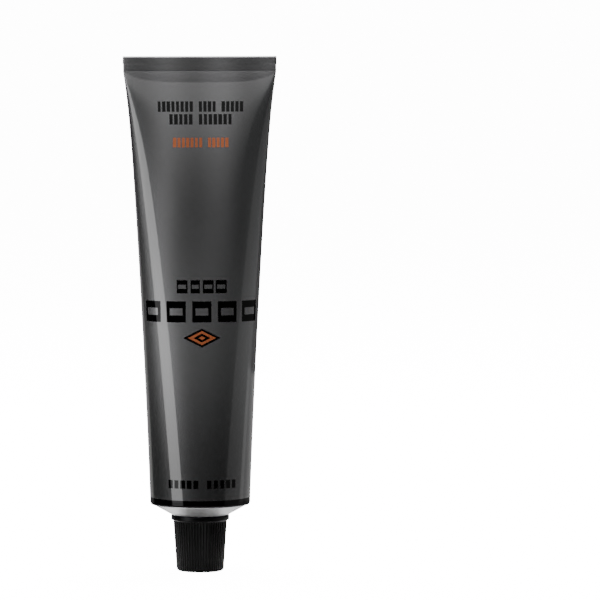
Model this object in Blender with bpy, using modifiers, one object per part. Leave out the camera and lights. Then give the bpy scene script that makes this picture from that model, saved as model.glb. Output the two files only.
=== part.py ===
"""Collapsible aluminium shaving cream tube, standing on its fluted screw cap.

Metres, +Z up. Z is the tube's axis and the cap's closed end rests on z = 0. The flattened end lies
along X, the front faces -Y and the fold is turned over on the +Y side.
"""

import math

import bmesh
import bpy

MM = 0.001

# Overall
TOTAL_HEIGHT = 180.0 * MM
BODY_RADIUS = 17.5 * MM
SEGMENTS = 40
GAP = 0.3 * MM

# Flattened end
SEAL_HALF_WIDTH = 26.7 * MM
SEAL_HALF_THICKNESS = 0.6 * MM
SEAL_SQUARENESS = 9.0
SQUARENESS_FADE = 5.0 * MM
SQUARENESS_RISE = 0.7
FLAT_START = 174.6 * MM
FOLD_HEIGHT = 2.8 * MM
FOLD_BACK = 1.05 * MM
FOLD_EXTRA_WIDTH = 0.15 * MM

# How the section opens from the flattened end to the full circle
ROUND_END = 25.4 * MM
SPREAD_LINEAR = 0.585
SPREAD_SQUARE = 0.29
SPREAD_POWER = 12
OPENING_POWER = 0.3
OPENING_START = 6.0 * MM
SLEEVE_RINGS = 13

# Shoulder and nozzle
WALL = 0.3 * MM
SHOULDER_WALL = 0.68 * MM
RIM_RADIUS = 17.15 * MM
RIM_Z = 23.75 * MM
SHOULDER_SLOPE = 0.546
BORE_RADIUS = 3.5 * MM
NECK_BOTTOM = 11.45 * MM
NECK_TOP = 16.6 * MM

# Thread, a rounded right-hand one
PITCH = 2.0 * MM
THREAD_MEAN = 5.15 * MM
THREAD_HALF_DEPTH = 0.35 * MM
THREAD_PLAY = 0.4 * MM
THREAD_RINGS_PER_PITCH = 6
THREAD_RUN_OUT = 0.8 * MM

# Cap
CAP_STEPS = 162
FLUTE_STEPS = 3
FLUTE_DEPTH = 0.28 * MM
CAP_END_RADIUS = 8.3 * MM
CAP_RIM_RADIUS = 9.4 * MM
CAP_CORNER = 1.2 * MM
COLLAR_RADIUS = 10.15 * MM
COLLAR_BOTTOM = 18.0 * MM
COLLAR_TOP = 19.7 * MM
CAP_END_THICKNESS = 1.6 * MM
SKIRT_WALL = 1.15 * MM
BOSS_RADIUS = 6.75 * MM
BOSS_TOP = 17.2 * MM
MOAT_BOTTOM = 3.4 * MM
WELL_RADIUS = 4.0 * MM
LEDGE_Z = 9.6 * MM

# Pieces inside
LINER_RADIUS = 5.5 * MM
LINER_THICKNESS = 0.8 * MM
FOIL_RADIUS = 4.65 * MM
FOIL_THICKNESS = 0.15 * MM
BAND_HALF_THICKNESS = 0.15 * MM
BAND_HEIGHT = 1.8 * MM
CREAM_TOP = 171.0 * MM

COLOURS = {
    "enamelled_aluminium": ((0.075, 0.078, 0.084), 0.32, 0.75),
    "cream": ((0.93, 0.93, 0.90), 0.55, 0.0),
    "latex_compound": ((0.62, 0.56, 0.42), 0.6, 0.0),
    "foil": ((0.80, 0.80, 0.81), 0.3, 1.0),
    "liner_foam": ((0.86, 0.86, 0.84), 0.8, 0.0),
    "cap_plastic": ((0.012, 0.012, 0.013), 0.38, 0.0),
}


def clear_scene():
    """Take away whatever the scene starts with."""
    for obj in list(bpy.data.objects):
        bpy.data.objects.remove(obj, do_unlink=True)


def make_material(name):
    """One Principled material by its name in COLOURS."""
    colour, roughness, metallic = COLOURS[name]
    material = bpy.data.materials.new(name)
    material.use_nodes = True
    shader = material.node_tree.nodes["Principled BSDF"]
    shader.inputs["Base Color"].default_value = (*colour, 1.0)
    shader.inputs["Roughness"].default_value = roughness
    shader.inputs["Metallic"].default_value = metallic
    material.diffuse_color = (*colour, 1.0)
    return material


def make_object(name, mesh, collection, material=None):
    """Put a mesh in the scene as an object with its material."""
    obj = bpy.data.objects.new(name, mesh)
    collection.objects.link(obj)
    if material is not None:
        mesh.materials.append(material)
    return obj


def mesh_from(name, points, faces):
    """A mesh from points and faces, with every face turned outward."""
    mesh = bpy.data.meshes.new(name)
    mesh.from_pydata(points, [], faces)
    work = bmesh.new()
    work.from_mesh(mesh)
    bmesh.ops.recalc_face_normals(work, faces=work.faces)
    work.to_mesh(mesh)
    work.free()
    return mesh


def shade_smooth(obj, degrees=35.0):
    """Smooth shading that keeps edges sharper than the angle."""
    mesh = obj.data
    mesh.shade_smooth()
    mesh.set_sharp_from_angle(angle=math.radians(degrees))


def turned(name, profile, collection, steps=SEGMENTS):
    """A solid turned about Z from (radius, z) points that run down its outer side, top to bottom."""
    mesh = bpy.data.meshes.new(name)
    points = [(r, 0.0, z) for r, z in profile]
    mesh.from_pydata(points, [(i, i + 1) for i in range(len(points) - 1)], [])
    obj = make_object(name, mesh, collection)
    screw = obj.modifiers.new("turn", "SCREW")
    screw.axis = "Z"
    screw.angle = 2.0 * math.pi
    screw.steps = steps
    screw.render_steps = steps
    screw.use_merge_vertices = True
    screw.merge_threshold = 0.000001
    screw.use_smooth_shade = True
    apply_modifiers(obj)
    work = bmesh.new()
    work.from_mesh(obj.data)
    bmesh.ops.remove_doubles(work, verts=work.verts, dist=0.000001)
    bmesh.ops.recalc_face_normals(work, faces=work.faces)
    work.to_mesh(obj.data)
    work.free()
    return obj


def apply_modifiers(obj):
    """Replace an object's mesh by what its modifiers make of it."""
    bpy.context.view_layer.update()
    graph = bpy.context.evaluated_depsgraph_get()
    made = bpy.data.meshes.new_from_object(obj.evaluated_get(graph))
    old = obj.data
    obj.modifiers.clear()
    obj.data = made
    bpy.data.meshes.remove(old)


def cut(obj, cutter):
    """Take the cutter's shape out of an object."""
    boolean = obj.modifiers.new("cut", "BOOLEAN")
    boolean.operation = "DIFFERENCE"
    boolean.solver = "EXACT"
    boolean.object = cutter
    apply_modifiers(obj)
    work = bmesh.new()
    work.from_mesh(obj.data)
    bmesh.ops.remove_doubles(work, verts=work.verts, dist=0.000001)
    bmesh.ops.dissolve_degenerate(work, edges=work.edges, dist=0.000001)
    work.to_mesh(obj.data)
    work.free()


def circle(radius, z, count=SEGMENTS):
    """A ring of points round Z."""
    turn = 2.0 * math.pi / count
    return [(radius * math.cos(i * turn), radius * math.sin(i * turn), z) for i in range(count)]


def section(half_width, front, back, z, squareness=2.0):
    """A closed outline: an ellipse at squareness 2, closer to a flat strip above it."""
    ring = []
    for i in range(SEGMENTS):
        angle = 2.0 * math.pi * i / SEGMENTS
        across = math.cos(angle)
        deep = math.sin(angle)
        x = half_width * math.copysign(abs(across) ** (2.0 / squareness), across)
        side = back if deep > 0.0 else front
        ring.append((x, side * math.copysign(abs(deep) ** (2.0 / squareness), deep), z))
    ring[0] = (half_width, 0.0, z)
    ring[SEGMENTS // 2] = (-half_width, 0.0, z)
    return ring


def half_sizes(z):
    """Half the width and half the thickness of the sleeve at height z."""
    t = min(max((z - ROUND_END) / (FLAT_START - ROUND_END), 0.0), 1.0)
    rest = 1.0 - SPREAD_LINEAR - SPREAD_SQUARE
    spread = SPREAD_LINEAR * t + SPREAD_SQUARE * t * t + rest * t ** SPREAD_POWER
    half_width = BODY_RADIUS + (SEAL_HALF_WIDTH - BODY_RADIUS) * spread
    start = OPENING_START ** OPENING_POWER
    span = (FLAT_START - ROUND_END + OPENING_START) ** OPENING_POWER - start
    depth = (1.0 - t) * (FLAT_START - ROUND_END)
    opened = ((depth + OPENING_START) ** OPENING_POWER - start) / span
    half_thickness = SEAL_HALF_THICKNESS + (BODY_RADIUS - SEAL_HALF_THICKNESS) * opened
    return half_width, half_thickness


def sleeve_ring(z, inset=0.0):
    """The sleeve's outline at height z, drawn in by inset: it squares up towards the flat end."""
    half_width, half_thickness = half_sizes(z)
    deep = half_thickness - inset
    rise = SQUARENESS_RISE * (z - ROUND_END) / (FLAT_START - ROUND_END)
    fade = math.exp((z - FLAT_START) / SQUARENESS_FADE)
    squareness = 2.0 + rise * (1.0 - fade) + (SEAL_SQUARENESS - 2.0) * fade
    return section(half_width - inset, deep, deep, z, squareness)


def sleeve_heights(top):
    """Heights from top down to the round end, closer together near the flattened end."""
    span = top - ROUND_END
    return [top - span * (i / SLEEVE_RINGS) ** 2 for i in range(SLEEVE_RINGS + 1)]


def join_rings(faces, low, high):
    """Quads between two rings of vertex indices."""
    count = len(low)
    for i in range(count):
        j = (i + 1) % count
        faces.append((low[i], low[j], high[j], high[i]))


def fill_strip(faces, ring):
    """Close a flat ring by joining each front point to the back point across from it."""
    count = len(ring)
    for i in range(count // 2):
        near = (ring[i], ring[(i + 1) % count])
        far = (ring[count - i - 1], ring[(count - i) % count])
        face = [near[0], near[1], far[0]]
        if far[1] != near[0]:
            face.append(far[1])
        faces.append(tuple(dict.fromkeys(face)))


def loft(name, rings):
    """A closed solid through the rings, both of its ends closed as flat strips."""
    points = [point for ring in rings for point in ring]
    faces = []
    for k in range(len(rings) - 1):
        low = range(k * SEGMENTS, (k + 1) * SEGMENTS)
        high = range((k + 1) * SEGMENTS, (k + 2) * SEGMENTS)
        join_rings(faces, low, high)
    fill_strip(faces, list(range(SEGMENTS)))
    fill_strip(faces, list(range((len(rings) - 1) * SEGMENTS, len(rings) * SEGMENTS)))
    return mesh_from(name, points, faces)


def shoulder_z(radius):
    """Height of the shoulder cone's outside at a radius."""
    return RIM_Z - (RIM_RADIUS - radius) * SHOULDER_SLOPE


def thread_depth(z, low, high):
    """How deep the thread stands at height z: full depth between its two run-outs."""
    return min(max(min(z - low, high - z) / THREAD_RUN_OUT, 0.0), 1.0)


def thread_rings(low, high, resting, swing):
    """Rings with a right-hand thread that stands out from the resting radius by up to twice swing."""
    count = round((high - low) / PITCH * THREAD_RINGS_PER_PITCH)
    rings = []
    for k in range(count + 1):
        z = low + (high - low) * k / count
        depth = thread_depth(z, low, high)
        ring = []
        for i in range(SEGMENTS):
            angle = 2.0 * math.pi * i / SEGMENTS
            wave = math.cos(2.0 * math.pi * z / PITCH - angle)
            radius = resting + swing * depth * (1.0 + math.copysign(1.0, swing) * wave)
            ring.append((radius * math.cos(angle), radius * math.sin(angle), z))
        rings.append(ring)
    return rings


def tube_rings():
    """The tube's surface as rings: over the fold, down outside, round the nozzle and up inside."""
    top = TOTAL_HEIGHT
    wide = SEAL_HALF_WIDTH + FOLD_EXTRA_WIDTH
    thin = SEAL_HALF_THICKNESS
    square = SEAL_SQUARENESS
    rings = [
        section(wide - 0.3 * MM, 0.1 * MM, 0.65 * MM, top, square),
        section(wide - 0.05 * MM, 0.45 * MM, 0.95 * MM, top - 0.18 * MM, square),
        section(wide, thin, FOLD_BACK, top - 0.55 * MM, square),
        section(wide, thin, FOLD_BACK, top - FOLD_HEIGHT + 0.1 * MM, square),
        section(SEAL_HALF_WIDTH, thin, thin, top - FOLD_HEIGHT - 0.1 * MM, square),
        section(SEAL_HALF_WIDTH, thin, thin, FLAT_START + 0.6 * MM, square),
    ]
    rings += [sleeve_ring(z) for z in sleeve_heights(FLAT_START)]
    rings += [
        circle(BODY_RADIUS, RIM_Z + 0.75 * MM),
        circle(BODY_RADIUS - 0.08 * MM, RIM_Z + 0.3 * MM),
        circle(RIM_RADIUS, RIM_Z),
        circle(10.0 * MM, shoulder_z(10.0 * MM)),
        circle(5.9 * MM, shoulder_z(5.9 * MM)),
    ]
    minor = THREAD_MEAN - THREAD_HALF_DEPTH
    rings += reversed(thread_rings(NECK_BOTTOM + 0.3 * MM, NECK_TOP, minor, THREAD_HALF_DEPTH))
    rings += [
        circle(minor - 0.25 * MM, NECK_BOTTOM),
        circle(BORE_RADIUS, NECK_BOTTOM),
        circle(BORE_RADIUS, shoulder_z(BORE_RADIUS) + SHOULDER_WALL),
        circle(16.8 * MM, shoulder_z(16.8 * MM) + SHOULDER_WALL),
        circle(BODY_RADIUS - WALL, RIM_Z + 1.25 * MM),
    ]
    inside = sleeve_heights(FLAT_START - 0.6 * MM)
    rings += [sleeve_ring(z, WALL) for z in reversed(inside)]
    slot = SEAL_HALF_THICKNESS - WALL
    rings += [
        section(SEAL_HALF_WIDTH - WALL, slot, slot, FLAT_START, square),
        section(SEAL_HALF_WIDTH - WALL, slot, slot, top - FOLD_HEIGHT - 0.2 * MM, square),
    ]
    return rings


def build_tube(collection):
    """The one-piece aluminium tube, from the folded end to the threaded nozzle."""
    mesh = loft("tube_body", tube_rings())
    tube = make_object("tube_body", mesh, collection, make_material("enamelled_aluminium"))
    shade_smooth(tube)
    return tube


def build_band(collection):
    """The sealing compound pressed between the two walls of the flattened end."""
    low = FLAT_START + 0.3 * MM
    high = low + BAND_HEIGHT
    half_width = SEAL_HALF_WIDTH - WALL - 2.0 * GAP
    thin = BAND_HALF_THICKNESS
    rings = [
        section(half_width, thin, thin, high, SEAL_SQUARENESS),
        section(half_width, thin, thin, low, SEAL_SQUARENESS),
    ]
    mesh = loft("end_seal_band", rings)
    return make_object("end_seal_band", mesh, collection, make_material("latex_compound"))


def build_cream(collection):
    """The contents: they fill the sleeve, the shoulder and the nozzle's bore."""
    inset = WALL + GAP
    bore = BORE_RADIUS - GAP
    lift = SHOULDER_WALL + GAP / math.cos(math.atan(SHOULDER_SLOPE))
    rings = [
        circle(bore, NECK_BOTTOM),
        circle(bore, shoulder_z(bore) + lift),
        circle(16.4 * MM, shoulder_z(16.4 * MM) + lift),
        circle(BODY_RADIUS - inset, RIM_Z + 1.7 * MM),
    ]
    rings += [sleeve_ring(z, inset) for z in reversed(sleeve_heights(CREAM_TOP))]
    mesh = loft("cream_fill", rings)
    cream = make_object("cream_fill", mesh, collection, make_material("cream"))
    shade_smooth(cream)
    return cream


def build_disc(name, radius, low, thickness, material, collection):
    """A plain round disc that lies across the axis."""
    high = low + thickness
    disc = turned(name, [(0.0, high), (radius, high), (radius, low), (0.0, low)], collection)
    disc.data.materials.append(make_material(material))
    shade_smooth(disc)
    return disc


def cap_outside(collection):
    """The cap's outer form as a solid: tapered fluted wall under a plain collar."""
    rim = COLLAR_TOP - (COLLAR_RADIUS - 0.15 * MM - 8.0 * MM) * SHOULDER_SLOPE
    profile = [
        (0.0, rim),
        (8.0 * MM, rim),
        (COLLAR_RADIUS - 0.15 * MM, COLLAR_TOP),
        (COLLAR_RADIUS, COLLAR_TOP - 0.2 * MM),
        (COLLAR_RADIUS, COLLAR_BOTTOM + 0.2 * MM),
        (COLLAR_RADIUS - 0.2 * MM, COLLAR_BOTTOM),
        (CAP_RIM_RADIUS, COLLAR_BOTTOM - 0.25 * MM),
        (CAP_END_RADIUS, CAP_CORNER),
        (CAP_END_RADIUS - 0.35 * CAP_CORNER, 0.35 * CAP_CORNER),
        (CAP_END_RADIUS - CAP_CORNER, 0.0),
        (0.0, 0.0),
    ]
    blank = turned("cap", profile, collection, CAP_STEPS)
    for vertex in blank.data.vertices:
        radius = math.hypot(vertex.co.x, vertex.co.y)
        fluted = CAP_CORNER * 0.9 < vertex.co.z < COLLAR_BOTTOM - 0.1 * MM
        if not fluted or radius < 1.0 * MM:
            continue
        step = round(math.atan2(vertex.co.y, vertex.co.x) / (2.0 * math.pi) * CAP_STEPS)
        if step % FLUTE_STEPS == 0:
            factor = 1.0 - FLUTE_DEPTH / radius
            vertex.co.x *= factor
            vertex.co.y *= factor
    return blank


def cap_moat(collection):
    """Cutter for the ring-shaped hollow between the cap's wall and its threaded boss."""
    low_out = CAP_END_RADIUS + (CAP_RIM_RADIUS - CAP_END_RADIUS) * MOAT_BOTTOM / COLLAR_BOTTOM
    high = COLLAR_TOP + 1.0 * MM
    profile = [
        (BOSS_RADIUS, high),
        (CAP_RIM_RADIUS - SKIRT_WALL, high),
        (CAP_RIM_RADIUS - SKIRT_WALL, COLLAR_BOTTOM),
        (low_out - SKIRT_WALL, MOAT_BOTTOM),
        (BOSS_RADIUS, MOAT_BOTTOM),
        (BOSS_RADIUS, high),
    ]
    return turned("cut_moat", profile, collection)


def cap_socket(collection):
    """Cutter for the threaded socket and the narrower well below its ledge."""
    root = THREAD_MEAN + THREAD_HALF_DEPTH + THREAD_PLAY
    rings = [
        circle(WELL_RADIUS, CAP_END_THICKNESS),
        circle(WELL_RADIUS, LEDGE_Z),
        circle(root, LEDGE_Z),
    ]
    rings += thread_rings(LEDGE_Z + 1.2 * MM, BOSS_TOP - 0.1 * MM, root, -THREAD_HALF_DEPTH)
    rings += [circle(root, BOSS_TOP + 0.4 * MM), circle(root, COLLAR_TOP + 1.0 * MM)]
    return make_object("cut_socket", loft("cut_socket", rings), collection)


def boss_lid(collection):
    """Cutter that lowers the boss below the wall's rim."""
    high = COLLAR_TOP + 1.0 * MM
    wide = BOSS_RADIUS + 0.3 * MM
    profile = [(0.0, high), (wide, high), (wide, BOSS_TOP), (0.0, BOSS_TOP)]
    return turned("cut_boss", profile, collection)


def build_cap(collection, cutters):
    """The one-piece black screw cap."""
    cap = cap_outside(collection)
    for cutter in (cap_moat(cutters), boss_lid(cutters), cap_socket(cutters)):
        cutter.hide_render = True
        cutter.display_type = "WIRE"
        cut(cap, cutter)
    cap.data.materials.clear()
    cap.data.materials.append(make_material("cap_plastic"))
    shade_smooth(cap, 28.0)
    return cap


def build():
    """Make every piece of the tube."""
    clear_scene()
    parts = bpy.data.collections.new("shaving_cream_tube")
    cutters = bpy.data.collections.new("cutters")
    bpy.context.scene.collection.children.link(parts)
    bpy.context.scene.collection.children.link(cutters)
    build_tube(parts)
    build_band(parts)
    build_cream(parts)
    foil_low = NECK_BOTTOM - GAP - FOIL_THICKNESS
    build_disc("orifice_foil_seal", FOIL_RADIUS, foil_low, FOIL_THICKNESS, "foil", parts)
    build_disc("cap_liner", LINER_RADIUS, LEDGE_Z + GAP, LINER_THICKNESS, "liner_foam", parts)
    build_cap(parts, cutters)


build()
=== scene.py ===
"""Visual model of a collapsible aluminium shaving cream tube that stands on its fluted screw cap.

Metres in the row frame: +Z runs up the tube's axis, the flattened end lies along X, the decorated
front faces -Y and the fold is turned over on the +Y side.
"""

import logging
import math
from dataclasses import dataclass, field, replace
from enum import Enum

import bpy
import numpy as np
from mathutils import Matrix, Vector


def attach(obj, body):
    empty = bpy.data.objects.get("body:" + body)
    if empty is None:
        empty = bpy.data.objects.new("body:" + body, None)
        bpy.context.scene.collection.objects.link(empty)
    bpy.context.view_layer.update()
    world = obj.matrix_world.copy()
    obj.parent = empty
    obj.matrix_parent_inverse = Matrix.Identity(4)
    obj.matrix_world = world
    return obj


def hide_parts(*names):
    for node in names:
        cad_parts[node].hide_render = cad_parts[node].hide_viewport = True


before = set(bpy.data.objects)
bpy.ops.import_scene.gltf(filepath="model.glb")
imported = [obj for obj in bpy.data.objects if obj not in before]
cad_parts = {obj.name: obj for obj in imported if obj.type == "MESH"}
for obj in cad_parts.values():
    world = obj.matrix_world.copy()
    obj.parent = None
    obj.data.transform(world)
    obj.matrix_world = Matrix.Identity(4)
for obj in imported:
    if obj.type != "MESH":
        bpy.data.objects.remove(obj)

LOG = logging.getLogger("shaving_cream_tube")
MM = 0.001
Point = tuple[float, float, float]
Ring = list[Point]


class Body(Enum):
    """The rigid bodies of the frame that pieces ride on."""

    TUBE = "tube"
    LINER = "liner"
    CAP = "screw_cap"


class Slot(Enum):
    """The record's material slots."""

    TUBE = "enamelled_aluminium"
    CAP = "cap_plastic"
    LINER = "liner_foam"
    FOIL = "foil"
    BAND = "latex_compound"
    CREAM = "cream"


class Zone(Enum):
    """Which finish a face of the tube's metal wears."""

    ENAMEL = 0
    BARE = 1
    LACQUER = 2


class Ink(Enum):
    """Printing inks, as linear colours."""

    BLACK = (0.0008, 0.0008, 0.0009)
    COPPER = (0.40, 0.115, 0.048)


class MarkShape(Enum):
    """Plain shapes that the decoration is made of."""

    BARS = "bars"
    LOZENGE = "lozenge"


# ---------------------------------------------------------------------------------------------
# Node graphs as expressions
# ---------------------------------------------------------------------------------------------


class Graph:
    """A node tree, with one method that adds a node of any type."""

    def __init__(self, tree: bpy.types.NodeTree) -> None:
        """Wrap a tree.

        Args:
            tree: the shader or geometry node tree that nodes are added to.
        """
        self.tree = tree

    def add(self, kind: str, settings: dict | None = None, inputs: dict | None = None) -> bpy.types.Node:
        """Add a node.

        Args:
            kind: the node's type name.
            settings: attributes set on the node.
            inputs: values, sockets or expressions for its inputs, by name or index.

        Returns:
            The new node.
        """
        node = self.tree.nodes.new(kind)
        for name, value in (settings or {}).items():
            setattr(node, name, value)
        for key, value in (inputs or {}).items():
            self.feed(node.inputs[key], value)
        return node

    def feed(self, socket: bpy.types.NodeSocket, value: object) -> None:
        """Set an input to a value or link it to an expression.

        Args:
            socket: the input.
            value: a number, a tuple, a socket or a Scalar.
        """
        if isinstance(value, Scalar):
            value = value.socket
        if isinstance(value, bpy.types.NodeSocket):
            self.tree.links.new(value, socket)
        else:
            socket.default_value = value

    def scalar(self, socket: bpy.types.NodeSocket) -> "Scalar":
        """Wrap an output as an expression.

        Args:
            socket: a float output.

        Returns:
            The expression.
        """
        return Scalar(self, socket)


class Scalar:
    """A float output that builds Math nodes when it is used in arithmetic."""

    def __init__(self, graph: Graph, socket: bpy.types.NodeSocket) -> None:
        """Wrap an output.

        Args:
            graph: the graph that the output belongs to.
            socket: the output.
        """
        self.graph = graph
        self.socket = socket

    def math(self, operation: str, *others: object, clamp: bool = False) -> "Scalar":
        """Apply a Math node.

        Args:
            operation: the Math node's operation.
            others: the operands after this one.
            clamp: whether the result is held between 0 and 1.

        Returns:
            The result.
        """
        inputs = dict(enumerate((self, *others)))
        node = self.graph.add("ShaderNodeMath", {"operation": operation, "use_clamp": clamp}, inputs)
        return Scalar(self.graph, node.outputs[0])

    def __add__(self, other: object) -> "Scalar":
        """Return self + other."""
        return self.math("ADD", other)

    def __radd__(self, other: object) -> "Scalar":
        """Return other + self."""
        return self.math("ADD", other)

    def __sub__(self, other: object) -> "Scalar":
        """Return self - other."""
        return self.math("SUBTRACT", other)

    def __rsub__(self, other: object) -> "Scalar":
        """Return other - self."""
        node = self.graph.add("ShaderNodeMath", {"operation": "SUBTRACT"}, {0: other, 1: self})
        return Scalar(self.graph, node.outputs[0])

    def __mul__(self, other: object) -> "Scalar":
        """Return self * other."""
        return self.math("MULTIPLY", other)

    def __rmul__(self, other: object) -> "Scalar":
        """Return other * self."""
        return self.math("MULTIPLY", other)

    def __truediv__(self, other: object) -> "Scalar":
        """Return self / other."""
        return self.math("DIVIDE", other)

    def __neg__(self) -> "Scalar":
        """Return -self."""
        return self.math("MULTIPLY", -1.0)

    def __pow__(self, other: object) -> "Scalar":
        """Return self ** other."""
        return self.math("POWER", other)

    def __abs__(self) -> "Scalar":
        """Return |self|."""
        return self.math("ABSOLUTE")

    def smooth(self, low: float, high: float) -> "Scalar":
        """Rise smoothly from 0 at low to 1 at high.

        Args:
            low: where the rise starts.
            high: where it ends; below low for a fall.

        Returns:
            The eased expression.
        """
        t = ((self - low) / (high - low)).math("ADD", 0.0, clamp=True)
        return t * t * (3.0 - 2.0 * t)

    def inside(self, centre: float, half: float, soft: float) -> "Scalar":
        """Return 1 within half of centre, falling to 0 over soft.

        Args:
            centre: the middle of the band.
            half: half of its width.
            soft: how wide its edge is.

        Returns:
            The mask.
        """
        return abs(self - centre).smooth(half + soft * 0.5, half - soft * 0.5)


class MaterialGraph(Graph):
    """A Principled material and the few textures that the finishes share."""

    def __init__(self, name: str) -> None:
        """Start a material.

        Args:
            name: the material's name.
        """
        self.material = bpy.data.materials.new(name)
        self.material.use_nodes = True
        super().__init__(self.material.node_tree)
        self.shader = self.tree.nodes["Principled BSDF"]
        self.coordinates = self.add("ShaderNodeTexCoord")

    def object_point(self) -> bpy.types.NodeSocket:
        """Return the Object coordinates."""
        return self.coordinates.outputs["Object"]

    def split(self, vector: bpy.types.NodeSocket) -> tuple[Scalar, Scalar, Scalar]:
        """Split a vector.

        Args:
            vector: the vector output.

        Returns:
            Its three components.
        """
        node = self.add("ShaderNodeSeparateXYZ", None, {0: vector})
        return tuple(self.scalar(node.outputs[i]) for i in range(3))

    def join(self, x: object, y: object, z: object) -> bpy.types.NodeSocket:
        """Make a vector.

        Args:
            x: first component.
            y: second component.
            z: third component.

        Returns:
            The vector output.
        """
        return self.add("ShaderNodeCombineXYZ", None, {0: x, 1: y, 2: z}).outputs[0]

    def noise(self, scale: float, detail: float = 3.0, vector: bpy.types.NodeSocket | None = None) -> Scalar:
        """Fractal noise.

        Args:
            scale: features per metre.
            detail: number of octaves.
            vector: where it is read; Object coordinates if None.

        Returns:
            The noise, from 0 to 1.
        """
        place = vector if vector is not None else self.object_point()
        inputs = {"Vector": place, "Scale": scale, "Detail": detail}
        return self.scalar(self.add("ShaderNodeTexNoise", None, inputs).outputs[0])

    def mix(self, factor: object, first: object, second: object) -> bpy.types.NodeSocket:
        """Mix two colours.

        Args:
            factor: 0 for the first, 1 for the second.
            first: a colour output or an RGB tuple.
            second: a colour output or an RGB tuple.

        Returns:
            The mixed colour.
        """
        node = self.add("ShaderNodeMix", {"data_type": "RGBA"})
        self.feed(node.inputs["Factor"], factor)
        for socket, colour in ((node.inputs[6], first), (node.inputs[7], second)):
            self.feed(socket, (*colour, 1.0) if isinstance(colour, tuple) else colour)
        return node.outputs[2]

    def bump(self, height: Scalar, distance: float) -> bpy.types.NodeSocket:
        """Turn a height into a normal.

        Args:
            height: the height field.
            distance: metres that a height of 1 stands for.

        Returns:
            The normal output.
        """
        inputs = {"Height": height, "Distance": distance, "Strength": 1.0}
        return self.add("ShaderNodeBump", None, inputs).outputs[0]

    def set(self, **values: object) -> None:
        """Set the shader's inputs; an underscore in a name stands for a space.

        Args:
            values: input values, sockets or expressions.
        """
        for name, value in values.items():
            self.feed(self.shader.inputs[name.replace("_", " ")], value)


# ---------------------------------------------------------------------------------------------
# Finishes
# ---------------------------------------------------------------------------------------------


@dataclass(frozen=True)
class PrintMark:
    """One plain mark of the decoration, placed on the unrolled sleeve.

    fill is the inked share of a bar's pitch, and spread is how much that differs from bar to bar.
    """

    shape: MarkShape
    ink: Ink
    height_at: float
    height: float
    half_width: float
    bars: int = 1
    fill: float = 0.7
    gaps: tuple[int, ...] = ()
    hollow: float = 0.0
    spread: float = 0.2
    soft_edge: float = 0.12 * MM

    def mask(self, graph: MaterialGraph, across: Scalar, up: Scalar) -> Scalar:
        """Where the mark's ink lies.

        Args:
            graph: the material's graph.
            across: distance round the sleeve from the front's centre line.
            up: height.

        Returns:
            1 in the mark and 0 outside it.
        """
        soft = self.soft_edge
        if self.shape is MarkShape.LOZENGE:
            reach = abs(across) / self.half_width + abs(up - self.height_at) / (0.5 * self.height)
            return reach.smooth(1.02, 0.98)
        block = across.inside(0.0, self.half_width, soft) * up.inside(self.height_at, 0.5 * self.height, soft)
        pitch = 2.0 * self.half_width / self.bars
        place = (across + self.half_width) / pitch
        cell = place.math("FLOOR")
        chance = graph.add(
            "ShaderNodeTexWhiteNoise",
            {"noise_dimensions": "1D"},
            {"W": cell + self.height_at / MM},
        )
        wide = graph.scalar(chance.outputs["Value"]) * self.spread + (self.fill - 0.5 * self.spread)
        edge = soft / pitch
        off = abs(place.math("FRACT") - 0.5)
        mask = block * (off - wide * 0.5).smooth(edge, -edge)
        for gap in self.gaps:
            mask = mask * abs(cell - float(gap)).smooth(0.4, 0.6)
        if self.hollow > 0.0:
            slot = up.inside(self.height_at, 0.5 * self.height * self.hollow, soft)
            mask = mask * (1.0 - slot * (off - 0.5 * wide * (1.0 - self.hollow)).smooth(edge, -edge))
        return mask


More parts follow.
